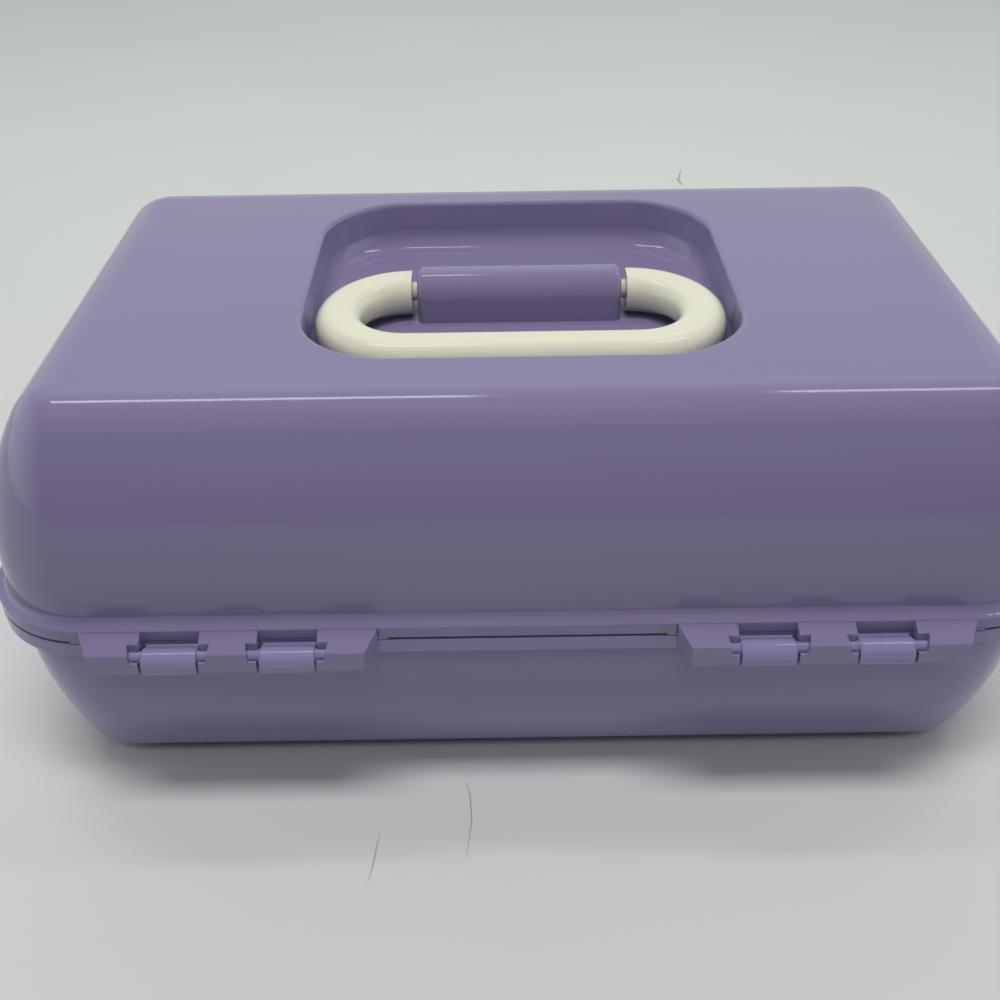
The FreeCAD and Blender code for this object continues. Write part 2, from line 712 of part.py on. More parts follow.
# ---------------------------------------------------------------- handle
def make_handle():
    """A loop: the bar and its two half-turn ends, each with a pin that turns in the boss."""
    body = new_body("carry_handle")
    ends = size.handle_pin_spread / 2
    radius = size.handle_bend_radius
    far = size.handle_y + radius * 2
    bar = rounded_rectangle(
        body, "bar_section", -ends, size.handle_width / 2, size.handle_thickness / 2,
        size.handle_edge_radius, centre_x=far, centre_y=handle_z, role="YZ_Plane")
    pad(body, "handle_bar", bar, ends * 2)
    for side, hand in ((1, "left"), (-1, "right")):
        section = rounded_rectangle(
            body, f"bend_section_{hand}", ends * side, size.handle_width / 2,
            size.handle_thickness / 2, size.handle_edge_radius, centre_x=size.handle_y,
            centre_y=handle_z, role="YZ_Plane")
        axis = new_sketch(body, f"bend_axis_{hand}", "XZ_Plane", -(size.handle_y + radius))
        axis.addGeometry(Part.LineSegment(
            FreeCAD.Vector(ends.value * side, 0, 0), FreeCAD.Vector(ends.value * side, 20, 0)))
        axis.addConstraint(Sketcher.Constraint("Vertical", 0))
        dimension(axis, "DistanceX", -1, 1, 0, 1, amount=ends * side)
        dimension(axis, "DistanceY", -1, 1, 0, 1, amount=0.0)
        dimension(axis, "DistanceY", 0, 1, 0, 2, amount=handle_z)
        bend = body.newObject("PartDesign::Revolution", f"handle_bend_{hand}")
        bend.Profile = (section, [""])
        bend.ReferenceAxis = (axis, ["Edge1"])
        bend.Angle = 180
        bend.Reversed = side < 0
        low, high = along(side, ends - size.handle_pin_length, ends + 0.5)
        rod(body, f"handle_pin_{hand}", "X", (low, size.handle_y, handle_z), high - low,
            size.handle_pin_radius)
    return body


# ---------------------------------------------------------------- latch
def make_latch():
    body = new_body("front_latch")
    half = size.latch_width / 2 - size.latch_side_gap
    face = latch_y - size.latch_barrel_radius
    back = face + size.latch_plate_thickness
    foot = latch_z - size.latch_drop
    lip = -hinge_back
    nose_top = size.base_height - size.base_flange_depth - size.latch_nose_gap
    nose_back = -(flange_half_y + size.latch_nose_gap)
    outline = closed_outline(body, "latch_outline", "YZ_Plane", 0.0, (
        (face, latch_z), (face, foot + size.latch_lip * 1.6), (lip, foot + size.latch_lip * 0.8),
        (lip, foot), (back - 0.6, foot), (back, foot + size.latch_lip),
        (back, nose_top - size.latch_nose_height - 1.0), (nose_back, nose_top - size.latch_nose_height),
        (nose_back, nose_top), (back, nose_top), (back, latch_z)))
    pad(body, "latch_plate", outline, half * 2, middle=True)
    rod(body, "latch_barrel", "X", (-half, latch_y, latch_z), half * 2, size.latch_barrel_radius)
    reach = size.latch_width / 2 + size.latch_pin_length - size.latch_side_gap
    rod(body, "latch_pins", "X", (-reach, latch_y, latch_z), reach * 2, size.latch_pin_radius)
    return body


# ---------------------------------------------------------------- link arms
def make_arm(name, side, start, end, holes):
    body = new_body(name)
    low, high = along(side, arm_inner, arm_outer)
    outline = slot_outline(body, "arm_outline", "YZ_Plane", low, start, end, size.arm_radius)
    pad(body, "arm_plate", outline, high - low)
    for k, (place, height) in enumerate(holes):
        rod(body, f"arm_hole_{k}", "X", (low - 1, place, height), high - low + 2,
            running_radius, cut=True)
    return body


def make_arms():
    for side, hand in ((1, "left"), (-1, "right")):
        long_base = (size.long_pivot_y, pivot_z)
        long_lower = (lower_long_y, lower_pivot_z)
        long_upper = (upper_long_y, upper_pivot_z)
        make_arm(f"long_arm_{hand}", side, long_base, long_upper,
                 (long_base, long_lower, long_upper))
        short_base = (size.short_pivot_y, pivot_z)
        short_lower = (lower_short_y, lower_pivot_z)
        make_arm(f"short_arm_{hand}", side, short_base, short_lower, (short_base, short_lower))


# ---------------------------------------------------------------- trays
def tray_divider_places(pitch, count):
    return [pitch * (k - (count - 1) / 2) for k in range(count)]


def make_tray(name, bottom, depth, length, row_length, dividers, pivots):
    """A tray with a moulded partition along X, grooves for its dividers and rivet holes."""
    body = new_body(name)
    wall = size.tray_wall
    middle = tray_front + length / 2
    outside = rounded_rectangle(body, "tray_outline", bottom, size.tray_half_width, length / 2,
                                size.tray_corner_radius, centre_y=middle)
    pad(body, "tray_outside", outside, depth)
    rows = ((tray_front + wall, tray_front + wall + row_length),
            (tray_front + wall + row_length + size.tray_partition, tray_front + length - wall))
    for k, (near, far) in enumerate(rows):
        hollow = rounded_rectangle(
            body, f"row_outline_{k}", bottom + size.tray_floor, size.tray_half_width - wall,
            (far - near) / 2, size.tray_corner_radius - wall, centre_y=(near + far) / 2)
        pocket(body, f"row_{k}", hollow, depth, reverse=True)
    groove = size.divider_thickness / 2 + size.divider_gap
    near, far = rows[0]
    for k, place in enumerate(dividers):
        block(body, f"divider_groove_{k}",
              (place - groove, near - size.divider_groove, bottom + size.tray_floor),
              (place + groove, far + size.divider_groove, bottom + depth + 1), cut=True)
    for k, (place, height) in enumerate(pivots):
        for side, hand in ((1, "left"), (-1, "right")):
            low, high = along(side, size.tray_half_width - size.rivet_seat_depth,
                              size.tray_half_width)
            rod(body, f"rivet_boss_{k}_{hand}", "X", (low, place, height), high - low,
                size.rivet_radius + 1.1)
            low, high = along(side, size.tray_half_width - size.rivet_seat_depth + 1.2,
                              size.tray_half_width + 1)
            rod(body, f"rivet_hole_{k}_{hand}", "X", (low, place, height), high - low,
                size.rivet_radius, cut=True)
    return body


def make_divider(name, place, bottom, depth, row_length):
    """A plate that drops into the grooves of a tray's front row, with a dipped top edge."""
    body = new_body(name)
    near = tray_front + size.tray_wall - size.divider_groove + size.divider_gap
    far = tray_front + size.tray_wall + row_length + size.divider_groove - size.divider_gap
    low = bottom + size.tray_floor
    high = bottom + depth - size.divider_drop / 2
    dip = high - size.divider_drop
    shoulder = row_length / 6
    outline = closed_outline(body, "divider_outline", "YZ_Plane", place - size.divider_thickness / 2, (
        (near, low), (far, low), (far, high), (far - shoulder, high), (far - shoulder * 1.5, dip),
        (near + shoulder * 1.5, dip), (near + shoulder, high), (near, high)))
    pad(body, "divider_plate", outline, size.divider_thickness)
    return body


def make_trays():
    lower_bottom = lower_pivot_z + size.lower_tray_above_pivot - size.lower_tray_depth
    upper_bottom = upper_pivot_z - size.upper_tray_below_pivot
    lower_places = tray_divider_places(size.lower_divider_pitch, 3)
    upper_places = tray_divider_places(size.upper_divider_pitch, 2)
    make_tray("lower_tray", lower_bottom, size.lower_tray_depth, size.lower_tray_length,
              size.lower_row_length, lower_places,
              ((lower_long_y, lower_pivot_z), (lower_short_y, lower_pivot_z)))
    make_tray("upper_tray", upper_bottom, size.upper_tray_depth, size.upper_tray_length,
              size.upper_row_length, upper_places,
              ((upper_long_y, upper_pivot_z), (lid_pivot_y, lid_pivot_z)))
    for k, place in enumerate(lower_places, start=1):
        make_divider(f"lower_divider_{k}", place, lower_bottom, size.lower_tray_depth,
                     size.lower_row_length)
    for k, place in enumerate(upper_places, start=1):
        make_divider(f"upper_divider_{k}", place, upper_bottom, size.upper_tray_depth,
                     size.upper_row_length)


# ---------------------------------------------------------------- rivets
def rivet(body, name, side, root, tip, head_inside, place, height):
    """One rivet from root to tip along X, its head at the inner or the outer end."""
    low, high = along(side, root, tip)
    rod(body, f"{name}_shank", "X", (low, place, height), high - low, size.rivet_radius)
    head = size.rivet_head_height
    if head_inside:
        low, high = along(side, root - head, root)
    else:
        low, high = along(side, tip, tip + head)
    rod(body, f"{name}_head", "X", (low, place, height), high - low, size.rivet_head_radius)


def make_rivets():
    """Each set of rivets is one node of separate solids."""
    tray_root = size.tray_half_width - size.rivet_seat_depth + 1.2
    sets = (
        ("base_rivets", True, arm_inner - 0.15, boss_face + size.rivet_seat_depth - 0.2,
         ((size.long_pivot_y, pivot_z), (size.short_pivot_y, pivot_z))),
        ("lower_tray_rivets", False, tray_root, arm_outer + 0.15,
         ((lower_long_y, lower_pivot_z), (lower_short_y, lower_pivot_z))),
        ("upper_tray_rivets", False, tray_root, arm_outer + 0.15,
         ((upper_long_y, upper_pivot_z),)),
    )
    for name, head_inside, root, tip, places in sets:
        pieces = []
        for side, hand in ((1, "left"), (-1, "right")):
            for k, (place, height) in enumerate(places):
                body = doc.addObject("PartDesign::Body", f"{name}_{hand}_{k}")
                rivet(body, f"{name}_{hand}_{k}", side, root, tip, head_inside, place, height)
                pieces.append(body)
            if name == "upper_tray_rivets":
                body = doc.addObject("PartDesign::Body", f"{name}_{hand}_lid")
                low, high = along(side, tray_root, size.tray_half_width + size.boss_side_gap
                                  + size.rivet_seat_depth - 0.3)
                rod(body, f"{name}_{hand}_lid_shank", "X", (low, lid_pivot_y, lid_pivot_z),
                    high - low, size.rivet_radius)
                pieces.append(body)
        group = doc.addObject("Part::Compound", name)
        group.Links = pieces
        group.Label = name
        parts.append(group)


# ---------------------------------------------------------------- mirror
def make_mirror():
    top = well_floor - size.shell_wall
    frame = new_body("mirror_frame")
    outline = rounded_rectangle(
        frame, "frame_outline", top - size.mirror_frame_depth, size.mirror_frame_half_x,
        size.mirror_frame_half_y, size.mirror_frame_corner)
    pad(frame, "frame_plate", outline, size.mirror_frame_depth)
    glass_half_x = size.mirror_frame_half_x - size.mirror_border - size.screw_head_radius
    glass_half_y = size.mirror_frame_half_y - size.mirror_border / 2
    recess = rounded_rectangle(
        frame, "recess_outline", top - size.mirror_frame_depth, glass_half_x + size.mirror_gap,
        glass_half_y + size.mirror_gap, size.mirror_frame_corner / 2)
    pocket(frame, "recess", recess, size.mirror_thickness + size.mirror_gap, reverse=True)
    for side in (1, -1):
        for end in (1, -1):
            tag = f"{'left' if side > 0 else 'right'}_{'rear' if end > 0 else 'front'}"
            place = (size.screw_x * side, size.screw_y * end)
            rod(frame, f"frame_hole_{tag}", "Z", (*place, top - size.mirror_frame_depth - 1),
                size.mirror_frame_depth + 2, size.screw_radius + 0.2, cut=True)
            rod(frame, f"frame_seat_{tag}", "Z", (*place, top - size.mirror_frame_depth - 1),
                size.screw_head_height + 1, size.screw_head_radius + 0.2, cut=True)
    glass = new_body("mirror")
    pane = rounded_rectangle(
        glass, "mirror_outline", top - size.mirror_frame_depth + size.mirror_gap, glass_half_x,
        glass_half_y, size.mirror_frame_corner / 2 - size.mirror_gap)
    pad(glass, "mirror_pane", pane, size.mirror_thickness)
    screws = []
    for side in (1, -1):
        for end in (1, -1):
            tag = f"{'left' if side > 0 else 'right'}_{'rear' if end > 0 else 'front'}"
            body = doc.addObject("PartDesign::Body", f"screw_{tag}")
            place = (size.screw_x * side, size.screw_y * end)
            low = top - size.mirror_frame_depth
            rod(body, f"screw_head_{tag}", "Z", (*place, low), size.screw_head_height,
                size.screw_head_radius)
            rod(body, f"screw_shank_{tag}", "Z", (*place, low + size.screw_head_height),
                size.screw_length - size.screw_head_height - 0.4, size.screw_radius)
            screws.append(body)
    group = doc.addObject("Part::Compound", "mirror_screws")
    group.Links = screws
    group.Label = "mirror_screws"
    parts.append(group)


make_base()
make_lid()
make_handle()
make_latch()
make_arms()
make_trays()
make_rivets()
make_mirror()
doc.recompute()

for item in doc.Objects:
    if "Invalid" in item.State or "Error" in item.State:
        raise RuntimeError(f"{item.Name} failed: {item.State}")
for item in parts:
    if item.Shape.isNull() or not item.Shape.isValid():
        raise RuntimeError(f"{item.Label} has no valid shape")

os.makedirs("parts", exist_ok=True)
for item in parts:
    item.Shape.exportStep(f"parts/{item.Label}.step")
    print(item.Label, len(item.Shape.Solids), round(item.Shape.Volume, 1))
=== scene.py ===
"""A glossy moulded makeup case on a pale studio floor, seen from its hinge side.

Metres, in the frame of the case: X along it, the hinges at +Y, Z up from the floor.
The hinges and the gate ring are given in millimetres, which MM turns into metres.
"""
import json
import math

import bmesh
import bpy
from mathutils import Matrix, Vector


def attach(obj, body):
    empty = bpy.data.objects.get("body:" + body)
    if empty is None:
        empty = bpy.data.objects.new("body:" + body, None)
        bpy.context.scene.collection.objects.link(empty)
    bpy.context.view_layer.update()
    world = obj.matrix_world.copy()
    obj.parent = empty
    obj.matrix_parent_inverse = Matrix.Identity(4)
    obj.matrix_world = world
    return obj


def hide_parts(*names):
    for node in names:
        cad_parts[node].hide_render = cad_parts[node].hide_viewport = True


MM = 0.001

# ---------------------------------------------------------------- looks
# colours are linear
LAVENDER = (0.240, 0.203, 0.355)
LAVENDER_DEEP = (0.224, 0.187, 0.337)
TUB = (0.275, 0.233, 0.430)
TUB_DEEP = (0.256, 0.215, 0.406)
CREAM = (0.760, 0.752, 0.610)
CREAM_SHADE = (0.700, 0.690, 0.545)
TRAY = (0.380, 0.320, 0.520)
TRAY_SHADE = tuple(0.93 * part for part in TRAY)
STEEL = (0.620, 0.625, 0.640)
STEEL_SHADE = tuple(0.8 * part for part in STEEL)
SILVER = (0.86, 0.88, 0.89)
SILVER_SHADE = (0.82, 0.84, 0.85)
FLOOR_FAR = (0.725, 0.765, 0.730)
# painted light: the floor beside and just in front of the case is paler, standing in for light
# where the case's shade falls
FLOOR_BESIDE_PAINTED_LIGHT = (0.690, 0.690, 0.687)
FLOOR_NEAR = (0.600, 0.602, 0.594)
FLOOR_MARK = (0.430, 0.430, 0.415)
SCRATCH = (0.27, 0.26, 0.25)
SCRATCH_SHADE = (0.40, 0.39, 0.38)
WORLD_TINT = (0.97, 1.0, 0.98)

# noise patterns, with scales per metre
CLOUD = {"scale": 9.0, "detail": 3.0, "rough": 0.5, "stretch": (0.35, 1.0, 2.2), "distort": 0.4}
PEEL = {"scale": 130.0, "detail": 2.0, "rough": 0.5}
SINK = {"scale": 14.0, "detail": 1.0, "rough": 0.4}
WIPED = {"scale": 190.0, "detail": 2.0, "rough": 0.6, "stretch": (0.03, 1.0, 1.0),
         "distort": 0.3}
HANDLED = {"scale": 22.0, "detail": 4.0, "rough": 0.6}
TURNED = {"scale": 400.0, "detail": 2.0, "rough": 0.6}
HAZE = {"scale": 30.0, "detail": 4.0, "rough": 0.6}
FLOOR_CLOUD = {"scale": 3.0, "detail": 4.0, "rough": 0.55}
FLOOR_HAIR = {"scale": 24.0, "detail": 6.0, "rough": 0.7, "stretch": (1.0, 0.12, 1.0),
              "distort": 1.4}
FLOOR_SPECK = {"scale": 160.0, "detail": 1.0, "rough": 0.5}
SCRATCH_GRAIN = {"scale": 60.0, "detail": 3.0, "rough": 0.5}

# ramps over the patterns: position, value
CLOUD_STOPS = ((0.3, 0.0), (0.72, 1.0))
WIPED_STOPS = ((0.66, 0.0), (0.72, 1.0))
FLOOR_CLOUD_STOPS = ((0.3, 1.0), (0.75, 0.955))
FLOOR_HAIR_STOPS = ((0.735, 0.0), (0.75, 1.0))
FLOOR_SPECK_STOPS = ((0.80, 0.0), (0.83, 1.0))
FLOOR_HAIR_SHARE = 0.30
FLOOR_SPECK_SHARE = 0.35
# the floor's paint along Y, paler beside the case as painted light where the case's shade falls;
# 0.5 is under the case and 1.0 is a metre nearer
FLOOR_STOPS = ((0.28, FLOOR_FAR), (0.48, FLOOR_BESIDE_PAINTED_LIGHT), (0.55, FLOOR_BESIDE_PAINTED_LIGHT),
               (0.64, FLOOR_NEAR))

# strength and depth of each relief
SINK_RELIEF = (0.10, 0.6 * MM)
PEEL_RELIEF = (0.05, 0.05 * MM)
WIPED_RELIEF = (0.05, 0.02 * MM)
TURNED_RELIEF = (0.1, 0.03 * MM)
PLASTIC_EDGE = 0.35 * MM
STEEL_EDGE = 0.2 * MM
EDGE_SAMPLES = 4

SHELL_ROUGHNESS = 0.10
CREAM_ROUGHNESS = 0.16
TRAY_ROUGHNESS = 0.30
HANDLED_SPREAD = 0.10
STEEL_ROUGHNESS = 0.28
HAZE_ROUGHNESS = 0.03
FLOOR_ROUGHNESS = 0.42
SCRATCH_ROUGHNESS = 0.6
PLASTIC_IOR = 1.5
FLOOR_SPECULAR = 0.35

# ---------------------------------------------------------------- hinges, in millimetres
# The frame's own hinges are plainer than the photograph's and stand higher. So each shell is
# drawn up to the face of its flange, FLANGE_EDGE, and the hinges are drawn beyond it.
FLANGE_EDGE = 99.6
FLANGE_LOW, FLANGE_HIGH = 68.05, 71.5
HINGE_START = 99.7
HINGE_AXIS = (103.7, 65.5)
BLOCK_ENDS = (42.8, 128.1)
BLOCK_TAPER = 3.8
BLOCK_BACK = 107.9
BLOCK_FRONT = FLANGE_EDGE + 0.3
BLOCK_RIDGE = (106.9, 68.8)
BLOCK_ROUNDING = 0.28
# arcs: first angle, last angle, steps
BARREL_RADIUS = 3.8
BARREL_ARC = (180, 275, 12)
HEEL_CENTRE = (106.4, 63.2)
HEEL_RADIUS = 1.2
HEEL_ARC = (285, 366, 8)
WEB_DEPTH = 1.4
WEB_PLAY = 0.01
WEB_ROUNDING = 0.1
KNUCKLE_CENTRES = (68.3, 101.8)
KNUCKLE_HALF = 7.9
KNUCKLE_AXIS = (103.6, 63.9)
KNUCKLE_RADIUS = 4.0
KNUCKLE_ARC = (139, -119, 34)
KNUCKLE_GAP = 0.6
KNUCKLE_ROUNDING = 0.6
KNUCKLE_SEGMENTS = 3
ARM_START = FLANGE_EDGE - 1.6
ARM_LOW, ARM_HIGH = 60.7, 66.8
NOTCH_WIDE, NOTCH_NARROW = 11.7, 10.5
NOTCH_FRONT, JAW_FRONT = 103.4, 106.3
NOTCH_FLOOR, JAW_TOP = 63.6, 66.0
PIN_RADIUS = 2.0
PIN_HALF = 14.9
PIN_ARC = (0, 345, 23)
PIN_ROUNDING = 0.3
BORE_PLAY = 0.1
BORE_END_PLAY = 0.3
WINDOW_DROP = 12
CUT_PAST = 1
SHARP_ANGLE = 35
FLAT_WEIGHT = 100

# the gate ring on the handle's boss, whose round top is about BOSS_AXIS (Y, Z)
BOSS_AXIS = (-4.6, 126.1)
RING_SHIFT = 0.9
RING_LEAN = 18
RING_STAND = 7.85
RING_RADIUS = 1.05
RING_WIRE = 0.18
RING_AROUND, RING_ACROSS = 28, 8

# ---------------------------------------------------------------- studio, in metres
FLOOR_HALF = 1.6
# name: width, and the line on the floor
SCRATCHES = {
    "scratch_1": (0.00032, ((0.0461, 0.1144), (0.0468, 0.1211), (0.0473, 0.1268),
                            (0.0483, 0.1324))),
    "scratch_2": (0.00030, ((0.0197, 0.0951), (0.0183, 0.1005), (0.0176, 0.1103),
                            (0.0192, 0.1252))),
    "scratch_3": (0.0010, ((-0.1280, -0.4645), (-0.1219, -0.4408), (-0.1238, -0.4291))),
}
SCRATCH_TIP = 0.00005
SCRATCH_LIFT = 0.0002

LAMP_HEIGHT = 2.0
# name: middle, length along X, width along Y, watts, whether surfaces reflect it
LAMPS = {
    "tube_left": ((0.50, -0.42), 0.90, 0.16, 3.8, True),
    "tube_right": ((-0.95, -0.42), 0.80, 0.16, 3.2, True),
    "ceiling_panel": ((0.0, 0.42), 1.0, 0.3, 20.0, False),
    "front_panel": ((0.0, 1.3), 1.2, 0.5, 7.5, False),
}
# strengths of the sky's regions
FAR_WALL = 0.68
BACK = 0.95
SIDES = 1.15
# where the regions fade, as parts of a view direction
FAR_WALL_TURN, FAR_WALL_TOP = (-0.95, -0.2), (0.36, 0.62)
BACK_TURN, BACK_FOOT = (-0.9, -0.1), (0.40, 0.66)
SIDES_TURN = (0.6, 1.0)
PLAIN_TURN = (-0.8, -0.4)

CAMERA_PLACE = Vector((7.7, 341.3, 291.5)) * MM
CAMERA_DOWN = 35.976
CAMERA_TURN = 0.079
CAMERA_ROLL = 0.797
CAMERA_FOCAL_PIXELS = 1141.9
CAMERA_CLIP = 0.01
PICTURE_PIXELS = 1000
SENSOR = 36.0


# ---------------------------------------------------------------- frame
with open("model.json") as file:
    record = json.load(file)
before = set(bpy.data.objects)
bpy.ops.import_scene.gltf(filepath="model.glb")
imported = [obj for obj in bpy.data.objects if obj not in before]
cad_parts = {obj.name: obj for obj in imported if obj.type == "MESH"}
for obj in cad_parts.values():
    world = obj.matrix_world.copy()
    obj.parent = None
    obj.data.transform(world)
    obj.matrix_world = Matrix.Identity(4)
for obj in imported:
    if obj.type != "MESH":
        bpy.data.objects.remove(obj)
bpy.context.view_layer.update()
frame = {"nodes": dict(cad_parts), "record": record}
nodes = frame["nodes"]


# ---------------------------------------------------------------- node helpers
class Tree:
    """A node tree built in short calls; most return the new node's output."""

    def __init__(self, tree):
        self.tree = tree

    def node(self, kind, **settings):
        made = self.tree.nodes.new(kind)
        for key, value in settings.items():
            setattr(made, key, value)
        return made

    def fill(self, socket, value):
        """Links the socket to another one, or sets its value."""
        if isinstance(value, bpy.types.NodeSocket):
            self.tree.links.new(value, socket)
        else:
            socket.default_value = (*value, 1) if isinstance(value, tuple) else value

    def math(self, operation, *values):
        made = self.node("ShaderNodeMath", operation=operation)
        for socket, value in zip(made.inputs, values):
            self.fill(socket, value)
        return made.outputs[0]

    def parts(self, source):
        made = self.node("ShaderNodeSeparateXYZ")
        self.fill(made.inputs[0], source)
        return made.outputs


class Material(Tree):
    """A material laid out in the object's own coordinates."""

    def __init__(self, name):
        self.material = bpy.data.materials.new(name)
        self.material.use_nodes = True
        super().__init__(self.material.node_tree)
        self.shader = self.tree.nodes["Principled BSDF"]
        self.place = self.node("ShaderNodeTexCoord").outputs["Object"]

    def stretched(self, scale):
        mapping = self.node("ShaderNodeMapping")
        mapping.inputs["Scale"].default_value = scale
        self.fill(mapping.inputs["Vector"], self.place)
        return mapping.outputs[0]

    def noise(self, scale, detail, rough, stretch=None, distort=0.0):
        made = self.node("ShaderNodeTexNoise")
        made.inputs["Scale"].default_value = scale
        made.inputs["Detail"].default_value = detail
        made.inputs["Roughness"].default_value = rough
        made.inputs["Distortion"].default_value = distort
        self.fill(made.inputs["Vector"], self.stretched(stretch) if stretch else self.place)
        return made.outputs[0]

    def ramp(self, source, stops):
        made = self.node("ShaderNodeValToRGB")
        bar = made.color_ramp
        while len(bar.elements) < len(stops):
            bar.elements.new(0.5)
        for element, (where, value) in zip(bar.elements, stops):
            element.position = where
            element.color = (*value, 1) if isinstance(value, tuple) else (value, value, value, 1)
        self.fill(made.inputs[0], source)
        return made.outputs[0]

    def mix(self, share, first, second, mode="MIX"):
        made = self.node("ShaderNodeMix", data_type="RGBA", blend_type=mode)
        for index, value in ((0, share), (6, first), (7, second)):
            self.fill(made.inputs[index], value)
        return made.outputs[2]

    def bump(self, height, relief, under):
        made = self.node("ShaderNodeBump")
        made.inputs["Strength"].default_value, made.inputs["Distance"].default_value = relief
        self.fill(made.inputs["Height"], height)
        self.fill(made.inputs["Normal"], under)
        return made.outputs[0]

    def soft_edges(self, radius):
        made = self.node("ShaderNodeBevel", samples=EDGE_SAMPLES)
        made.inputs["Radius"].default_value = radius
        return made.outputs[0]

    def set(self, **values):
        names = {"base": "Base Color", "roughness": "Roughness", "metallic": "Metallic",
                 "normal": "Normal", "ior": "IOR", "specular": "Specular IOR Level"}
        for key, value in values.items():
            self.fill(self.shader.inputs[names[key]], value)
        return self.material


def gloss_plastic(name, colour, deep, roughness):
    """Moulded plastic: slight flow clouding, a faint orange peel and fine wiping scratches."""
    made = Material(name)
    base = made.mix(made.ramp(made.noise(**CLOUD), CLOUD_STOPS), colour, deep)
    normal = made.soft_edges(PLASTIC_EDGE)
    normal = made.bump(made.noise(**SINK), SINK_RELIEF, normal)
    normal = made.bump(made.noise(**PEEL), PEEL_RELIEF, normal)
    normal = made.bump(made.ramp(made.noise(**WIPED), WIPED_STOPS), WIPED_RELIEF, normal)
    rough = made.math("MULTIPLY_ADD", made.noise(**HANDLED), HANDLED_SPREAD,
                      roughness - HANDLED_SPREAD / 2)
    return made.set(base=base, roughness=rough, normal=normal, ior=PLASTIC_IOR)


def plated_steel(name):
    """Bright plating with a fine turned grain."""
    made = Material(name)
    grain = made.noise(**TURNED)
    base = made.mix(grain, STEEL, STEEL_SHADE)
    normal = made.bump(grain, TURNED_RELIEF, made.soft_edges(STEEL_EDGE))
    return made.set(base=base, roughness=STEEL_ROUGHNESS, metallic=1.0, normal=normal)


def mirror_glass(name):
    """Silvered glass with a slight haze."""
    made = Material(name)
    haze = made.noise(**HAZE)
    base = made.mix(haze, SILVER, SILVER_SHADE)
    return made.set(base=base, roughness=made.math("MULTIPLY", haze, HAZE_ROUGHNESS),
                    metallic=1.0)


def floor_paint_and_painted_light(name):
    """Pale paint, greener far from the case, with painted light as a paler band beside and just
    in front of the case, and with clouds, hair-fine scratches and specks.
    """
    made = Material(name)
    along_y = made.math("MULTIPLY_ADD", made.parts(made.place)[1], 0.5, 0.5)
    shade = made.ramp(made.noise(**FLOOR_CLOUD), FLOOR_CLOUD_STOPS)
    # the ramp along Y carries the painted light, a paler band beside the case
    base = made.mix(1.0, made.ramp(along_y, FLOOR_STOPS), shade, "MULTIPLY")
    for pattern, stops, share in ((FLOOR_HAIR, FLOOR_HAIR_STOPS, FLOOR_HAIR_SHARE),
                                  (FLOOR_SPECK, FLOOR_SPECK_STOPS, FLOOR_SPECK_SHARE)):
        mark = made.math("MULTIPLY", made.ramp(made.noise(**pattern), stops), share)
        base = made.mix(mark, base, FLOOR_MARK)
    return made.set(base=base, roughness=FLOOR_ROUGHNESS, specular=FLOOR_SPECULAR)


def scratch_paint(name):
    made = Material(name)
    base = made.mix(made.noise(**SCRATCH_GRAIN), SCRATCH, SCRATCH_SHADE)
    return made.set(base=base, roughness=SCRATCH_ROUGHNESS)


# ---------------------------------------------------------------- materials on the case
FINISHES = {
    "lavender": gloss_plastic("lavender_plastic", LAVENDER, LAVENDER_DEEP, SHELL_ROUGHNESS),
    "cream": gloss_plastic("cream_plastic", CREAM, CREAM_SHADE, CREAM_ROUGHNESS),
    "tray": gloss_plastic("tray_plastic", TRAY, TRAY_SHADE, TRAY_ROUGHNESS),
    "mirror": mirror_glass("silvered_glass"),
    "steel": plated_steel("plated_steel"),
}
for row in frame["record"]["subparts"]:
    materials = nodes[row["node"]].data.materials
    materials.clear()
    materials.append(FINISHES[row["material_slot"]])

# the drawn pieces by body; the tub's plastic is a little more vivid than the lid's
SHELL_FINISHES = {
    "lid": FINISHES["lavender"],
    "base": gloss_plastic("tub_plastic", TUB, TUB_DEEP, SHELL_ROUGHNESS),
}


# ---------------------------------------------------------------- mesh helpers
def arc(centre, radius, start, end, steps):
    """Points round a centre in a Y-Z profile; the angles are degrees from +Y."""
    turns = [math.radians(start + (end - start) * step / steps) for step in range(steps + 1)]
    return [(centre[0] + radius * math.cos(turn), centre[1] + radius * math.sin(turn))
            for turn in turns]


def solid_mesh(name, low, high):
    """A closed mesh between two rings of as many points, given in millimetres."""
    count = len(low)
    faces = [tuple(range(count))[::-1], tuple(range(count, 2 * count))]
    faces += [(k, (k + 1) % count, count + (k + 1) % count, count + k) for k in range(count)]
    mesh = bpy.data.meshes.new(name)
    mesh.from_pydata([Vector(point) * MM for point in (*low, *high)], [], faces)
    grid = bmesh.new()
    grid.from_mesh(mesh)
    bmesh.ops.recalc_face_normals(grid, faces=grid.faces)
    grid.to_mesh(mesh)
    grid.free()
    return mesh


def along_x(name, profile, start, end, taper=0.0):
    """A bar with a Y-Z profile; its ends lean in by the taper at the back of the block."""
    def ring(place, lean):
        return [(place + lean * taper * (y - FLANGE_EDGE) / (BLOCK_BACK - FLANGE_EDGE), y, z)
                for y, z in profile]
    side = 1 if end > start else -1
    return solid_mesh(name, ring(start, side), ring(end, -side))


def along_z(name, outline, low, high):
    return solid_mesh(name, [(x, y, low) for x, y in outline], [(x, y, high) for x, y in outline])


def smooth(mesh):
    for face in mesh.polygons:
        face.use_smooth = True


def placed(name, mesh):
    made = bpy.data.objects.new(name, mesh)
    bpy.context.scene.collection.objects.link(made)
    return made


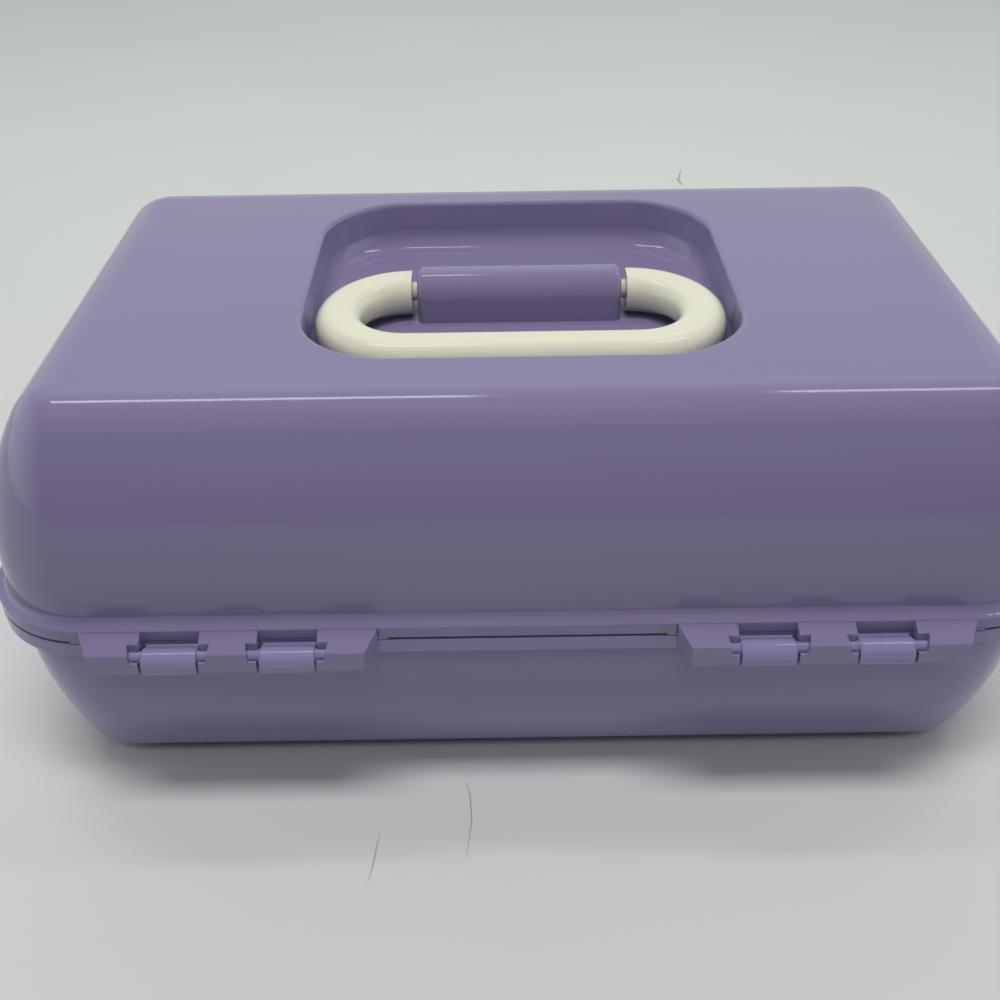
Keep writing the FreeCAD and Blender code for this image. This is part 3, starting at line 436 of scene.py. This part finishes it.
def carved(name, mesh, cutters, rounding, segments=2):
    """An object from the mesh less the cutters, with its edges rounded."""
    made = placed(name, mesh)
    tools = []
    for cutter in cutters:
        tools.append(placed(cutter.name, cutter))
        cut = made.modifiers.new(cutter.name, "BOOLEAN")
        cut.solver = "EXACT"
        cut.object = tools[-1]
    edges = made.modifiers.new("rounding", "BEVEL")
    edges.width = rounding * MM
    edges.segments = segments
    edges.limit_method = "ANGLE"
    edges.angle_limit = math.radians(SHARP_ANGLE)
    weigh = made.modifiers.new("flat_faces", "WEIGHTED_NORMAL")
    weigh.mode = "FACE_AREA"
    weigh.weight = FLAT_WEIGHT
    smooth(mesh)
    shape = bpy.data.meshes.new_from_object(made.evaluated_get(
        bpy.context.evaluated_depsgraph_get()))
    shape.name = name
    made.modifiers.clear()
    made.data = shape
    for tool in tools:
        bpy.data.objects.remove(tool)
    return made


def dress(piece, body):
    """Gives a drawn piece its plastic and its body."""
    piece.data.materials.clear()
    piece.data.materials.append(SHELL_FINISHES[body])
    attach(piece, body)


# ---------------------------------------------------------------- hinges
def without_hinge(node_name, body):
    """A shell's own mesh up to the face of its flange."""
    source = nodes[node_name].data
    points = source.vertices
    kept = [face for face in source.polygons
            if max(points[corner].co.y for corner in face.vertices) < HINGE_START * MM]
    used = sorted({corner for face in kept for corner in face.vertices})
    place = {old: new for new, old in enumerate(used)}
    mesh = bpy.data.meshes.new(f"{node_name}_skin")
    mesh.from_pydata([points[old].co for old in used], [],
                     [[place[corner] for corner in face.vertices] for face in kept])
    smooth(mesh)
    mesh.normals_split_custom_set([source.corner_normals[loop].vector
                                   for face in kept for loop in face.loop_indices])
    skin = placed(f"{node_name}_skin", mesh)
    dress(skin, body)
    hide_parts(node_name)


def block_cutters(middle):
    """What a hinge block leaves out for one knuckle: window, stepped notch and pin bore."""
    back = BLOCK_BACK + CUT_PAST

    def cutter(name, half_front, half_back, front, back, low, high):
        outline = ((middle - half_front, front), (middle + half_front, front),
                   (middle + half_back, back), (middle - half_back, back))
        return along_z(name, outline, low, high)

    half = KNUCKLE_HALF + KNUCKLE_GAP
    return [
        cutter("window", half, half, FLANGE_EDGE - CUT_PAST, back,
               FLANGE_LOW - WINDOW_DROP, FLANGE_HIGH + 2 * CUT_PAST),
        cutter("notch", NOTCH_WIDE, NOTCH_NARROW, NOTCH_FRONT, JAW_FRONT,
               NOTCH_FLOOR, FLANGE_HIGH + CUT_PAST),
        cutter("notch", NOTCH_WIDE, NOTCH_NARROW, NOTCH_FRONT, back,
               JAW_TOP, FLANGE_HIGH + CUT_PAST),
        along_x("bore", arc(HINGE_AXIS, PIN_RADIUS + BORE_PLAY, *PIN_ARC),
                middle - PIN_HALF - BORE_END_PLAY, middle + PIN_HALF + BORE_END_PLAY),
    ]


def make_hinge_block(side, hand):
    """A block under the lid's flange: sloping top, tapered ends, cut out round two knuckles."""
    profile = [(FLANGE_EDGE, FLANGE_LOW), (BLOCK_FRONT, FLANGE_LOW)]
    profile += arc(HINGE_AXIS, BARREL_RADIUS, *BARREL_ARC)
    profile += arc(HEEL_CENTRE, HEEL_RADIUS, *HEEL_ARC)
    profile += [BLOCK_RIDGE, (FLANGE_EDGE, FLANGE_HIGH)]
    start, end = (place * side for place in BLOCK_ENDS)
    body = along_x(f"block_{hand}", profile, start, end, BLOCK_TAPER)
    cutters = [cutter for place in KNUCKLE_CENTRES for cutter in block_cutters(place * side)]
    dress(carved(f"hinge_block_{hand}", body, cutters, BLOCK_ROUNDING), "lid")

    front, back = FLANGE_EDGE - WEB_DEPTH, FLANGE_EDGE - WEB_PLAY
    profile = [(front, FLANGE_LOW), (back, FLANGE_LOW), (back, FLANGE_HIGH), (front, FLANGE_HIGH)]
    web = along_x(f"web_{hand}", profile, start, end)
    dress(carved(f"hinge_web_{hand}", web, (), WEB_ROUNDING), "lid")


def make_knuckles(side, hand):
    """Two rolls on arms from the tub's flange, with the pins that the block turns on."""
    profile = [(ARM_START, ARM_HIGH)]
    profile += arc(KNUCKLE_AXIS, KNUCKLE_RADIUS, *KNUCKLE_ARC)
    profile += [(ARM_START, ARM_LOW)]
    for order, place in zip(("near", "far"), KNUCKLE_CENTRES):
        middle = place * side
        roll = along_x(f"roll_{order}_{hand}", profile, middle - KNUCKLE_HALF,
                       middle + KNUCKLE_HALF)
        dress(carved(f"hinge_knuckle_{order}_{hand}", roll, (), KNUCKLE_ROUNDING,
                     KNUCKLE_SEGMENTS), "base")
        pin = along_x(f"pin_bar_{order}_{hand}", arc(HINGE_AXIS, PIN_RADIUS, *PIN_ARC),
                      middle - PIN_HALF, middle + PIN_HALF)
        dress(carved(f"hinge_pin_{order}_{hand}", pin, (), PIN_ROUNDING), "base")


def make_gate_ring():
    """The small raised ring that the mould's gate leaves on top of the handle's boss."""
    lean = math.radians(RING_LEAN)
    centre = Vector((RING_SHIFT, BOSS_AXIS[0] - RING_STAND * math.sin(lean),
                     BOSS_AXIS[1] + RING_STAND * math.cos(lean)))
    along = Vector((0, math.cos(lean), math.sin(lean)))
    out = Vector((0, -math.sin(lean), math.cos(lean)))
    points, faces = [], []
    for k in range(RING_AROUND):
        turn = math.tau * k / RING_AROUND
        spoke = Vector((1, 0, 0)) * math.cos(turn) + along * math.sin(turn)
        near, far = k * RING_ACROSS, (k + 1) % RING_AROUND * RING_ACROSS
        for j in range(RING_ACROSS):
            roll = math.tau * j / RING_ACROSS
            following = (j + 1) % RING_ACROSS
            points.append((centre + spoke * (RING_RADIUS + RING_WIRE * math.cos(roll))
                           + out * RING_WIRE * math.sin(roll)) * MM)
            faces.append((near + j, far + j, far + following, near + following))
    mesh = bpy.data.meshes.new("gate_ring")
    mesh.from_pydata(points, [], faces)
    smooth(mesh)
    dress(placed("gate_ring", mesh), "lid")


without_hinge("lid_shell", "lid")
without_hinge("base_shell", "base")
for side, hand in ((1, "left"), (-1, "right")):
    make_hinge_block(side, hand)
    make_knuckles(side, hand)
make_gate_ring()


# ---------------------------------------------------------------- studio
def stage_mesh(name, corners, faces, material):
    mesh = bpy.data.meshes.new(name)
    mesh.from_pydata([Vector(corner) for corner in corners], [], faces)
    mesh.materials.append(material)
    placed(name, mesh)


def make_floor(half):
    """A pale table top, larger than the picture."""
    corners = ((-half, -half, 0), (half, -half, 0), (half, half, 0), (-half, half, 0))
    stage_mesh("floor_sheet", corners, ((0, 1, 2, 3),), floor_paint_and_painted_light("floor_paint_and_painted_light"))


def make_scratch(name, line, width, material):
    """A hair-thin dark scratch on the table, widest at its middle."""
    last = len(line) - 1
    corners = []
    for k, (x, y) in enumerate(line):
        reach = width / 2 * (1 - abs(2 * k / last - 1)) + SCRATCH_TIP
        corners += [(x + reach, y, SCRATCH_LIFT), (x - reach, y, SCRATCH_LIFT)]
    faces = [(2 * k, 2 * k + 1, 2 * k + 3, 2 * k + 2) for k in range(last)]
    stage_mesh(name, corners, faces, material)


def make_lamp(name, middle, length, width, watts, reflected):
    """A panel that hangs over a line through the case and is turned towards it."""
    lamp = bpy.data.lights.new(name, "AREA")
    lamp.shape = "RECTANGLE"
    lamp.size = length
    lamp.size_y = width
    lamp.energy = watts
    made = placed(name, lamp)
    made.location = (*middle, LAMP_HEIGHT)
    aim = Vector((middle[0], 0, 0)) - Vector((*middle, LAMP_HEIGHT))
    made.rotation_euler = aim.to_track_quat("-Z", "Y").to_euler()
    made.visible_glossy = reflected


def make_world():
    """A pale room, as a sum of soft regions of the sky."""
    world = bpy.data.worlds.new("studio")
    bpy.context.scene.world = world
    world.use_nodes = True
    sky = Tree(world.node_tree)
    across, along_y, up = sky.parts(sky.node("ShaderNodeTexCoord").outputs["Generated"])[:3]

    def level(source, edges, bottom, top):
        made = sky.node("ShaderNodeMapRange", interpolation_type="SMOOTHSTEP")
        for socket, value in zip(made.inputs[1:5], (*edges, bottom, top)):
            socket.default_value = value
        sky.fill(made.inputs[0], source)
        return made.outputs[0]

    def product(first, second):
        return sky.math("MULTIPLY", first, second)

    regions = (
        (product(level(along_y, FAR_WALL_TURN, 1.0, 0.0), level(up, FAR_WALL_TOP, 1.0, 0.0)),
         FAR_WALL),
        (product(level(along_y, BACK_TURN, 1.0, 0.0), level(up, BACK_FOOT, 0.0, 1.0)), BACK),
        (level(sky.math("ABSOLUTE", across), SIDES_TURN, 0.0, 1.0), SIDES),
    )
    strength = 0.0
    for region, brightness in regions:
        strength = sky.math("ADD", product(region, brightness), strength)
    # seen straight from the other sides, the room is as plain as the far wall
    seen = sky.node("ShaderNodeLightPath").outputs["Is Camera Ray"]
    share = product(seen, level(along_y, PLAIN_TURN, 0.0, 1.0))
    plainer = product(share, sky.math("SUBTRACT", FAR_WALL, strength))
    background = world.node_tree.nodes["Background"]
    sky.fill(background.inputs["Strength"], sky.math("ADD", strength, plainer))
    sky.fill(background.inputs["Color"], WORLD_TINT)


def make_camera():
    lens = bpy.data.cameras.new("camera")
    lens.sensor_width = SENSOR
    lens.lens = CAMERA_FOCAL_PIXELS * SENSOR / PICTURE_PIXELS
    lens.clip_start = CAMERA_CLIP
    camera = placed("camera", lens)
    down = math.radians(CAMERA_DOWN)
    turn = math.radians(CAMERA_TURN)
    roll = math.radians(CAMERA_ROLL)
    forward = Vector((-math.sin(turn) * math.cos(down), -math.cos(turn) * math.cos(down),
                      -math.sin(down)))
    right = Vector((-math.cos(turn), math.sin(turn), 0))
    up = right.cross(forward)
    # the picture is turned by the roll, so the camera's own axes turn the other way
    tilted_right = right * math.cos(roll) - up * math.sin(roll)
    tilted_up = right * math.sin(roll) + up * math.cos(roll)
    axes = Matrix((tilted_right, tilted_up, -forward)).transposed()
    camera.matrix_world = Matrix.Translation(CAMERA_PLACE) @ axes.to_4x4()
    bpy.context.scene.camera = camera


make_floor(FLOOR_HALF)
scratch_dark = scratch_paint("scratch_paint")
for name, (width, line) in SCRATCHES.items():
    make_scratch(name, line, width, scratch_dark)
for name, settings in LAMPS.items():
    make_lamp(name, *settings)
make_world()
make_camera()
bpy.context.scene.view_settings.view_transform = "Standard"
